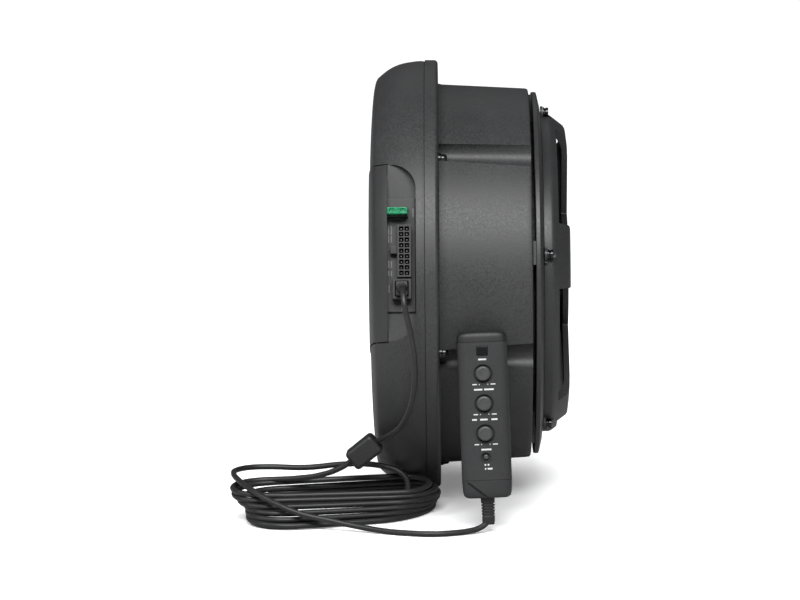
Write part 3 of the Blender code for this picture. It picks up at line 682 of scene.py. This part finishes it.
def bay_outline(clearance=0.0):
    left, right = BAY_X[0] - clearance, BAY_X[1] + clearance
    half = BLOCK_HALF + clearance
    outline = [(left, -half)]
    for k in range(13):
        a = -pi / 2 + pi / 2 * k / 12
        outline.append((right - BAY_CORNER + BAY_CORNER * cos(a), -half + BAY_CORNER + BAY_CORNER * sin(a)))
    for k in range(13):
        a = pi / 2 * k / 12
        outline.append((right - BAY_CORNER + BAY_CORNER * cos(a), half - BAY_CORNER + BAY_CORNER * sin(a)))
    return outline + [(left, half)]


def make_dome():
    line = [(SEAM_X, 169.9)] + smooth_line([(-114.4, 170.1)] + DOME[1:], 2.5)
    inner = [(-154.7, 0.0), (-154.2, 90.0), (-152.9, 125.0), (-151.2, 142.0), (-149.0, 151.5),
             (-141.0, 159.0), (-133.0, 163.2), (-110.9, 163.2)]
    dome = revolve([(-110.9, 166.6), (SEAM_X, 166.6)] + line + inner)
    solid = profile_offset(-1.0, DOME)
    walls = prism(bay_outline(3.0), -200.0, BAY_FLOOR_Y + 3.0, 1)
    walls = common(walls, revolve([(-116.0, 0.0), (-116.0, 169.0)] + solid[1:], 96))
    dome = add(dome, walls)
    dome = cut(dome, prism(bay_outline(), -200.0, BAY_FLOOR_Y, 1))
    smooth = smooth_line(DOME, 2.5)
    outer = clip_line(profile_offset(6.0, smooth), HOOD_X + 0.45)
    under = clip_line(profile_offset(-2.0, smooth), HOOD_X + 0.45)
    room = prism(block_outline(BLOCK_HALF + 0.9), -200.0, -100.0, 0)
    pocket = common(revolve(outer + under[::-1], 96), room)
    dome = cut(dome, pocket)
    dome = rounded(dome, 0.3, 2)
    piece(dome, "dome_cover", "case", UNIT, "case", "case", "dome_shell")


def make_crown():
    smooth = smooth_line(DOME, 2.5)
    outer = clip_line(profile_offset(BLOCK_PROUD, smooth), HOOD_X)
    under = clip_line(profile_offset(-1.7, smooth), HOOD_X)
    crown = revolve(outer + under[::-1])
    crown = common(crown, prism(block_outline(BLOCK_HALF), -200.0, -100.0, 0))
    crown = rounded(crown, 0.8, 3)
    piece(crown, "crown_block", "block", UNIT, "case", "case", "crown_panel")


def make_drum():
    outer = fillet([
        (-112.2, 166.9), (-112.2, 170.6), (-112.05, 170.8), (-111.9, 170.85), (-103.6, 170.8),
        (-101.9, 169.0), (-101.9, 151.5), (-33.0, 147.7), (-30.3, 147.2), (-30.3, 112.0), (-33.8, 112.0),
        (-33.8, 144.0), (-106.0, 148.2), (-106.0, 166.9),
    ], 1.2, 5)
    drum = revolve(outer)
    skin = revolve([(-106.0, 0.0), (-106.0, 151.0), (-34.0, 147.2), (-31.5, 146.4), (-30.9, 145.0),
                    (-30.9, 0.0)], 96)
    houses, grooves = [], []
    for angle, turn in zip(SCREW_ANGLES, GROOVE_TURNS):
        end = around(150.4, angle + 0.75 * turn, -20.0)
        houses.append(rod(around(SCREW_R - 0.2, angle + turn, -106.0), end, 11.2, 14.4))
        grooves.append(rod(around(SCREW_R - 0.2, angle + turn, -101.9), end, 8.3, 11.4, 64))
    drum = add(drum, common(joined(houses), skin))
    drum = cut(drum, joined(grooves))
    drum = rounded(drum, 1.1, 4, 28)
    piece(drum, "drum_housing", "case", UNIT, "case", "case", "drum_shell")


def make_screws():
    """Cross-recessed case screws at the grooves' ends."""
    profile = [(0.0, 0.0), (0.0, 4.6), (2.4, 4.6), (2.7, 3.8), (4.8, 3.8), (6.4, 3.3), (7.2, 2.0), (7.3, 0.0)]
    for k, angle in enumerate(SCREW_ANGLES):
        start = around(SCREW_R - 1.2, angle, -102.2)
        head = turned(fillet(profile, 0.4, 3), start, (1, 0, 0), 32)
        cross = [box((5.6, -0.5, -2.1), (9.7, 0.5, 2.1)), box((5.6, -2.1, -0.5), (9.7, 2.1, 0.5))]
        tool = add(cross[0], cross[1])
        tool.data.transform(Matrix.Translation(start * MM))
        head = rounded(cut(head, tool), 0.12, 2)
        piece(head, f"case_screw_{k + 1}_head", "screw", UNIT, "case", "fastener", f"case_screw_{k + 1}")


def make_ring():
    ring = revolve(fillet([(-27.8, 144.7), (-24.2, 144.7), (-23.7, 143.5), (-21.7, 134.8), (-21.2, 130.0),
                           (-21.2, 118.6), (-27.8, 118.6)], 0.9, 4))
    pads = []
    for k in range(ARMS):
        pad = box((-30.0, -143.0, -9.0), (-27.0, -124.0, 9.0))
        pad.data.transform(Matrix.Rotation(radians(-72 * k), 4, "X"))
        pads.append(pad)
    ring = rounded(add(ring, joined(pads)), 0.3, 2)
    piece(ring, "trim_ring", "ring", UNIT, "case", "case", "woofer_ring")


def make_guard():
    """The five-armed guard: its rim in the ring plastic, and its inside faces (window edges, arm undersides,
    ribs) given black plastic as painted shade.
    """
    outer = [
        (-20.9, 127.2), (-15.6, 127.2), (-13.6, 126.4), (-12.1, 125.4), (-2.5, 117.9), (-1.3, 115.6),
        (-0.3, 108.0), (0.0, 100.0), (0.0, 0.0),
    ]
    inner = [(-4.5, 0.0), (-4.5, 105.0), (-5.8, 110.5), (-9.0, 115.5), (-13.0, 119.5), (-20.9, 120.6)]
    guard = revolve(outer + inner, 200)
    lugs, windows, wells, ribs = [], [], [], []
    for k in range(ARMS):
        turn = Matrix.Rotation(radians(-72 * k), 4, "X")
        lug = rod(around(BOLT_R, 72 * k, -20.9), around(BOLT_R, 72 * k, LUG_X), 4.9, segments=40)
        foot = box((-20.9, -BOLT_R, -6.5), (LUG_X, -121.5, 6.5))
        foot.data.transform(turn)
        lugs.append(add(lug, foot))
        centre = 36 + 72 * k
        outline = []
        for step in range(17):
            a = radians(centre - 22 + 44 * step / 16)
            outline.append((-(HUB_R + 2) * cos(a), (HUB_R + 2) * sin(a)))
        for step in range(25):
            a = radians(centre + 24.3 + (6.0 if k == 3 else 0.0) - 48.6 * step / 24)
            outline.append((-136.0 * cos(a), 136.0 * sin(a)))
        windows.append(prism(fillet(outline, 7.0, 6), WINDOW_X, 5.0, 0))
        wells.append(rod(around(BOLT_R, 72 * k, LUG_X), around(BOLT_R, 72 * k, -5.0), 4.5, segments=40))
        side = [(-10.5, -30.0), (-10.5, -100.0), (-5.5, -108.0), (-3.5, -108.0), (-3.5, -30.0)]
        ribs.append(prism(side, -3.0, 3.0, 2))
        ribs[-1].data.transform(turn)
    guard = add(guard, joined(lugs))
    guard = cut(guard, joined(windows))
    guard = cut(guard, joined(wells))
    guard = add(guard, joined(ribs))
    guard = rounded(guard, 0.7, 3)
    piece(guard, "woofer_guard", "ring", UNIT, "case", "case", "guard")
    # Painted shade: faces within 116.5 mm of the axis that do not face outward get the black plastic,
    # standing in for the shadow inside the windows.
    guard.data.materials.append(LOOKS["black"])
    back = UNIT.inverted().to_3x3()
    for face in guard.data.polygons:
        middle, normal = back @ face.center, back @ face.normal
        if hypot(middle.y, middle.z) < 0.1165 and normal.x < 0.55:
            face.material_index = 1


def make_bolts():
    """Socket-head guard bolts, each on its thin seat."""
    profile = [
        (0.0, 0.0), (0.0, 4.2), (1.0, 4.2), (1.15, 3.3), (1.9, 3.3), (2.1, 3.8), (4.2, 3.8), (4.2, 0.0),
    ]
    for k in range(ARMS):
        start = around(BOLT_R, 72 * k, LUG_X + 0.3)
        head = turned(fillet(profile, 0.35, 4), start, (1, 0, 0), 48)
        socket = rod(start + Vector((2.6, 0, 0)), start + Vector((7.0, 0, 0)), 1.9, segments=6)
        head = rounded(cut(head, socket), 0.15, 2)
        piece(head, f"guard_bolt_{k + 1}_head", "screw", UNIT, "case", "fastener", f"guard_bolt_{k + 1}")


def make_woofer():
    cone = revolve(smooth_line([(-30.8, 88.0), (-45.2, 58.0), (-56.3, 33.5), (-62.0, 20.6)], 3.0)
                   + smooth_line([(-63.8, 20.6), (-58.0, 34.3), (-46.8, 59.0), (-32.2, 88.8)], 3.0))
    piece(cone, "paper_cone", "cone", UNIT, "cone_assembly", "cone_paper", "cone")
    line = [(-57.8, 27.6), (-54.0, 24.0), (-50.6, 17.0), (-48.7, 8.5), (-48.2, 0.0)]
    cap = band(smooth_line(line, 1.5), 1.0, 96)
    piece(cap, "cone_cap", "cone", UNIT, "cone_assembly", "cone_paper", "dust_cap")
    roll = band(smooth_line([(-27.2, 110.0), (-27.2, 104.0), (-23.8, 102.4), (-21.4, 99.8), (-20.5, 96.5),
                             (-21.4, 93.2), (-24.5, 90.8), (-29.0, 89.2), (-30.0, 86.0)], 0.8), 0.9)
    piece(roll, "surround_roll", "rubber", UNIT, "case", "rubber", "surround")


# ---------------------------------------------------------------- connector bay

def make_terminals():
    panel = rounded(box((-142.5, PANEL_FACE, -45.3), (-119.4, BAY_FLOOR_Y - 0.3, 41.7)), 0.5, 3)
    piece(panel, "connector_plate", "block", UNIT, "case", "dark_plastic", "terminal_panel")
    holder = box((-141.0, TOP - 5.0, FUSE_Z - 3.8), (-124.6, TOP, FUSE_Z + 3.8))
    slots = [box((x - 2.9, TOP - 9.0, FUSE_Z - 0.9), (x + 2.9, TOP - 1.0, FUSE_Z + 0.9)) for x in FUSE_BLADES]
    holder = rounded(cut(holder, joined(slots)), 0.4)
    piece(holder, "fuse_block", "black", UNIT, "case", "black_plastic", "fuse_holder")
    body = box((-140.3, TOP - 14.5, FUSE_Z - 2.55), (-125.1, TOP - 5.3, FUSE_Z + 2.55))
    hollows = [
        box((x - 1.9, TOP - 15.5, FUSE_Z - 1.3), (x + 1.9, TOP - 13.4, FUSE_Z + 1.3))
        for x in FUSE_BLADES
    ]
    body = rounded(cut(body, joined(hollows)), 0.5, 3)
    piece(body, "blade_fuse", "fuse", UNIT, "fuse", "fuse_plastic", "fuse")
    for name, x in zip(("left", "right"), FUSE_BLADES):
        leaf = rounded(box((x - 2.5, TOP - 5.2, FUSE_Z - 0.4), (x + 2.5, TOP - 1.6, FUSE_Z + 0.4)), 0.1, 1)
        piece(leaf, f"fuse_leaf_{name}", "leaf", UNIT, "fuse", "fastener")
    socket = box((-133.2, TOP - 9.5, SOCKET_Z - 19.9), (-122.4, TOP, SOCKET_Z + 19.9))
    socket = add(socket, box((-138.3, TOP - 6.0, -1.5), (-132.0, TOP, 4.2)))
    cells, pins = [], []
    for row in range(9):
        z = SOCKET_Z + 4.2 * (row - 4)
        for x in (-129.9, -125.7):
            cells.append(box((x - 1.6, TOP - 20.0, z - 1.6), (x + 1.6, TOP - 3.5, z + 1.6)))
            pins.append(box((x - 0.4, TOP - 8.0, z - 0.4), (x + 0.4, TOP - 3.6, z + 0.4)))
    socket = rounded(cut(socket, joined(cells)), 0.3, 2)
    piece(socket, "harness_header", "black", UNIT, "case", "black_plastic", "harness_socket")
    piece(joined(pins), "header_pins", "pin", UNIT, "case", "fastener")
    jack = box((-137.0, TOP - 9.5, JACK_Z - 7.7), (-122.4, TOP, JACK_Z + 7.7))
    jack = cut(jack, box((-134.6, TOP - 20.0, JACK_Z - 5.8), (-124.8, TOP - 3.0, JACK_Z + 5.8)))
    piece(rounded(jack, 0.45, 3), "jack_socket", "black", UNIT, "case", "black_plastic", "remote_jack")
    plug = rounded(box((-134.2, TOP - 14.0, JACK_Z - 5.4), (-125.2, TOP - 3.4, JACK_Z + 5.4)), 0.7, 3)
    boot = turned(fillet([(0.0, 0.0), (0.0, 4.3), (2.0, 3.9), (7.2, 3.2), (7.6, 2.6), (7.6, 0.0)], 0.5, 4),
                  (-129.7, TOP - 13.0, JACK_Z), (0, -1, 0))
    plug = piece(add(plug, boot), "cord_plug", "black", UNIT, "case", "dark_plastic", "plug")
    led = turned(fillet([(0.0, 0.0), (0.0, 1.5), (1.6, 1.5), (2.6, 0.9), (2.8, 0.0)], 0.4, 4),
                 (-129.7, TOP, -38.6), (0, -1, 0), 32)
    piece(led, "status_lamp", "led", UNIT, "case", "led_lens", "power_led")
    marks = [bar(-121.0, z, 0.5, 1.2) for z in (FUSE_Z - 2.0, FUSE_Z, FUSE_Z + 2.0)]
    words = ((17.0, 3.4), (10.2, 2.6), (-9.0, 2.6), (-16.0, 2.0))
    marks += [bar(x, z, 0.45, half) for x in (-139.6, -137.6) for z, half in words]
    marks += [bar(-139.4, JACK_Z + 1.0, 0.45, 3.0), bar(-129.7, -43.0, 0.4, 0.9)]
    piece(joined(marks), "plate_marks", "faint", UNIT, "case", "badge_plastic")
    return plug


def bar(x, z, half_width, half_height):
    """A small printed bar on the connector plate."""
    return box((x - half_width, PANEL_FACE - 0.06, z - half_height),
               (x + half_width, PANEL_FACE + 0.2, z + half_height))


# ---------------------------------------------------------------- remote

def remote_section(width, depth, shrink=0.0):
    """The remote seen along its length: a bowed face, round corners, flat back."""
    half, t = width / 2 - shrink, depth / 2 - shrink * 0.6
    bow = [(-half + half * k / 6, -t + 1.9 * (1 - k / 6) ** 2) for k in range(1, 12)]
    face = [(-half, -t + 5.5), (-half + 0.25, -t + 3.9), (-half + 1.1, -t + 2.6)]
    face += [(x, y) for x, y in bow if abs(x) < half - 2.2]
    face += [(half - 1.1, -t + 2.6), (half - 0.25, -t + 3.9), (half, -t + 5.5)]
    back = [(half, t - 3.2), (half - 0.9, t - 0.9), (half - 3.2, t), (-half + 3.2, t), (-half + 0.9, t - 0.9),
            (-half, t - 3.2)]
    return face + back


def loft(sections):
    """A closed skin through outlines of the same count, each (z, outline in X and Y)."""
    n = len(sections[0][1])
    points, faces = [], []
    for z, outline in sections:
        points += [(x, y, z) for x, y in outline]
    faces = [list(range(n)), list(range(n * (len(sections) - 1), n * len(sections)))]
    for level in range(len(sections) - 1):
        for k in range(n):
            j = (k + 1) % n
            a, b = n * level, n * (level + 1)
            faces.append([a + k, a + j, b + j, b + k])
    return raw(points, faces)


def ring_hole(down, radius, depth):
    """A cutter for the round recess about a knob."""
    outline = fillet([(0.0, 0.0), (0.0, radius + 0.4), (depth, radius), (depth, 0.0)], 0.1)
    return turned(outline, (0, -REMOTE_T / 2 - 1.0, REMOTE_TOP - down), (0, 1, 0), 64)


def collar(down, inner, outer, proud):
    """The low ring that stands about a knob or the button."""
    face = -REMOTE_T / 2
    outline = fillet([(-1.6, inner), (proud, inner), (proud, outer), (-1.6, outer)], 0.35, 3)
    return turned(outline, (0, face, REMOTE_TOP - down), (0, -1, 0), 72)


def label(x, down, half_width, half_height):
    """A printed bar on the remote's face."""
    z = REMOTE_TOP - down
    y = -REMOTE_T / 2 + 1.9 * (x / (REMOTE_W / 2)) ** 2
    return box((x - half_width, y - 0.07, z - half_height), (x + half_width, y + 0.3, z + half_height))


def make_remote_shell():
    low, high = RELIEF_L + 13.5, REMOTE_TOP - 7.3
    split = 2.0
    section = remote_section(REMOTE_W, REMOTE_T)
    levels = [(low + 0.12, section), (high - 0.12, section)]
    back = common(loft(levels), box((-40.0, split + 0.2, 0.0), (40.0, 30.0, 200.0)))
    piece(rounded(back, 0.3, 2), "remote_shell_back", "remote", REMOTE, "case", "dark_plastic", "remote_back")
    front = common(loft(levels), box((-40.0, -30.0, 0.0), (40.0, split - 0.2, 200.0)))
    front = cut(front, box((-15.0, -7.5, low + 2.0), (15.0, 10.0, high - 2.0)))
    for down in KNOB_DOWN:
        front = cut(front, rod((0, -30.0, REMOTE_TOP - down), (0, -5.0, REMOTE_TOP - down), 3.6))
        front = cut(front, ring_hole(down, 6.9, 2.3))
    front = cut(front, rod((0, -30.0, REMOTE_TOP - BUTTON_DOWN), (0, -5.0, REMOTE_TOP - BUTTON_DOWN), 2.3))
    front = cut(front, ring_hole(BUTTON_DOWN, 3.9, 2.0))
    middle = REMOTE_TOP - BADGE_DOWN
    front = cut(front, box((-4.45, -30.0, middle - 3.7), (4.45, -REMOTE_T / 2 + 0.9, middle + 3.7)))
    front = rounded(front, 0.3, 2)
    piece(front, "remote_shell_front", "remote", REMOTE, "case", "dark_plastic", "remote_front")
    cap = loft([
        (high + 0.12, section), (high + 3.6, remote_section(REMOTE_W, REMOTE_T, 0.15)),
        (high + 5.4, remote_section(REMOTE_W, REMOTE_T, 0.7)),
        (REMOTE_TOP - 0.7, remote_section(REMOTE_W, REMOTE_T, 1.6)),
        (REMOTE_TOP, remote_section(REMOTE_W, REMOTE_T, 2.8)),
    ])
    piece(cap, "remote_cap_top", "cap", REMOTE, "case", "dark_plastic", "remote_top_cap")
    foot = loft([
        (RELIEF_L, remote_section(REMOTE_W, REMOTE_T, 4.0)),
        (RELIEF_L + 0.5, remote_section(REMOTE_W, REMOTE_T, 2.6)),
        (RELIEF_L + 2.0, remote_section(REMOTE_W, REMOTE_T, 1.2)),
        (RELIEF_L + 5.0, remote_section(REMOTE_W, REMOTE_T, 0.4)), (low - 0.12, section),
    ])
    crease = box((-9.6, -20.0, -0.9), (9.6, -8.2, 0.9))
    slant = Matrix.Rotation(radians(39), 4, "Y")
    crease.data.transform(Matrix.Translation(Vector((-6.8, 0, RELIEF_L + 5.6)) * MM) @ slant)
    foot = rounded(cut(foot, crease), 0.25, 2)
    piece(foot, "remote_cap_bottom", "remote", REMOTE, "case", "dark_plastic", "remote_bottom_cap")


def make_remote():
    make_remote_shell()
    plate = rounded(box((-4.15, -REMOTE_T / 2 - 0.3, REMOTE_TOP - BADGE_DOWN - 3.4),
                        (4.15, -REMOTE_T / 2 + 0.6, REMOTE_TOP - BADGE_DOWN + 3.4)), 0.35, 3)
    piece(plate, "remote_plate", "badge", REMOTE, "case", "badge_plastic", "badge_window")
    knob_profile = [
        (0.0, 0.0), (0.0, 3.2), (3.6, 3.2), (3.6, 5.6), (6.9, 5.5), (7.6, 5.0), (7.9, 4.2), (7.7, 0.0),
    ]
    for down, name in zip(KNOB_DOWN, ("level_knob", "boost_knob", "crossover_knob")):
        z = REMOTE_TOP - down
        piece(collar(down, 6.5, 7.4, 0.35), f"{name}_collar", "cap", REMOTE, "case", "dark_plastic")
        knob = turned(fillet(knob_profile, 0.4, 4), (0, -7.5, z), (0, -1, 0), 72)
        knob = cut(knob, box((-0.3, -17.0, z + 2.6), (0.3, -15.2, z + 4.6)))
        piece(knob, f"{name}_cap", "knob", REMOTE, name, "knob_plastic", name)
    z = REMOTE_TOP - BUTTON_DOWN
    piece(collar(BUTTON_DOWN, 3.1, 4.2, 0.5), "phase_collar", "black", REMOTE, "case", "black_plastic")
    outline = fillet([(0.0, 0.0), (0.0, 1.9), (9.0, 1.9), (9.4, 0.9), (9.4, 0.0)], 0.5, 4)
    button = turned(outline, (0, -3.2, z), (0, -1, 0), 40)
    piece(button, "phase_button_cap", "knob", REMOTE, "phase_button", "knob_plastic", "phase_button")
    words = (
        (20.4, ((-0.2, 3.0),)),
        (KNOB_DOWN[0] + 12.2, ((-4.0, 3.2), (3.8, 3.8))),
        (KNOB_DOWN[1] + 12.2, ((-7.0, 2.5), (-0.6, 2.8), (6.4, 3.2))),
        (KNOB_DOWN[2] + 12.2, ((0.4, 3.8),)),
        (99.8, ((-0.8, 0.6), (1.5, 0.6))),
        (102.8, ((-0.8, 0.5), (2.6, 1.8))),
    )
    marks = [label(x, down, half, 0.62) for down, blocks in words for x, half in blocks]
    for down in KNOB_DOWN:
        for x, half in ((-6.3, 2.0), (6.7, 2.4), (-3.1, 0.25), (3.3, 0.25)):
            marks.append(label(x, down + 8.3, half, 0.42))
    piece(joined(marks), "remote_marks", "print", REMOTE, "case", "badge_plastic")
    relief = loft([(z0, [(x * w / 5, y * w / 5.4) for x, y in oval]) for z0, w, oval in relief_levels()])
    relief = rounded(relief, 0.2, 2)
    piece(relief, "cord_strain_relief", "black", REMOTE, "case", "black_plastic", "strain_relief")


def relief_levels():
    """Levels of the ribbed sleeve where the cord enters the remote: height, half width, outline."""
    oval = fillet([(-5.0, -4.6), (5.0, -4.6), (5.0, 4.6), (-5.0, 4.6)], 2.2, 5, 2.0)
    levels = [(-2.0, 3.9), (-1.4, 4.4), (0.2, 4.75), (4.2, 4.9)]
    for k in range(5):
        z = 4.6 + 2.2 * k
        levels += [(z, 4.2), (z + 0.8, 4.2), (z + 1.0, 4.95 + 0.06 * k), (z + 2.0, 5.0 + 0.06 * k)]
    levels += [(16.4, 5.3), (RELIEF_L - 0.2, 5.4)]
    return [(z, w, oval) for z, w in levels]


def repaint(looks):
    """Better materials for the CAD nodes that stay."""
    for look, names in looks.items():
        for name in names:
            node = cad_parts[name]
            node.data.materials.clear()
            node.data.materials.append(LOOKS[look])


make_camera()
make_studio()
make_looks()
cord, cord_exit, cord_length = make_cord()
ferrite = make_ferrite()
plug = make_terminals()
make_dome()
make_crown()
make_drum()
make_screws()
make_ring()
make_guard()
make_bolts()
make_woofer()
make_remote()
repaint({
    "frame": ["basket"],
    "steel": ["top_plate", "back_plate", "pot_1", "pot_2", "pot_3"],
    "fibre": ["spider"],
    "copper": ["voice_coil", "inductor"],
    "ferrite": ["magnet"],
    "board": ["amp_board", "remote_board"],
    "aluminium": ["heat_sink"],
    "can": ["capacitor_1", "capacitor_2"],
    "rubber": ["case_gasket"],
})
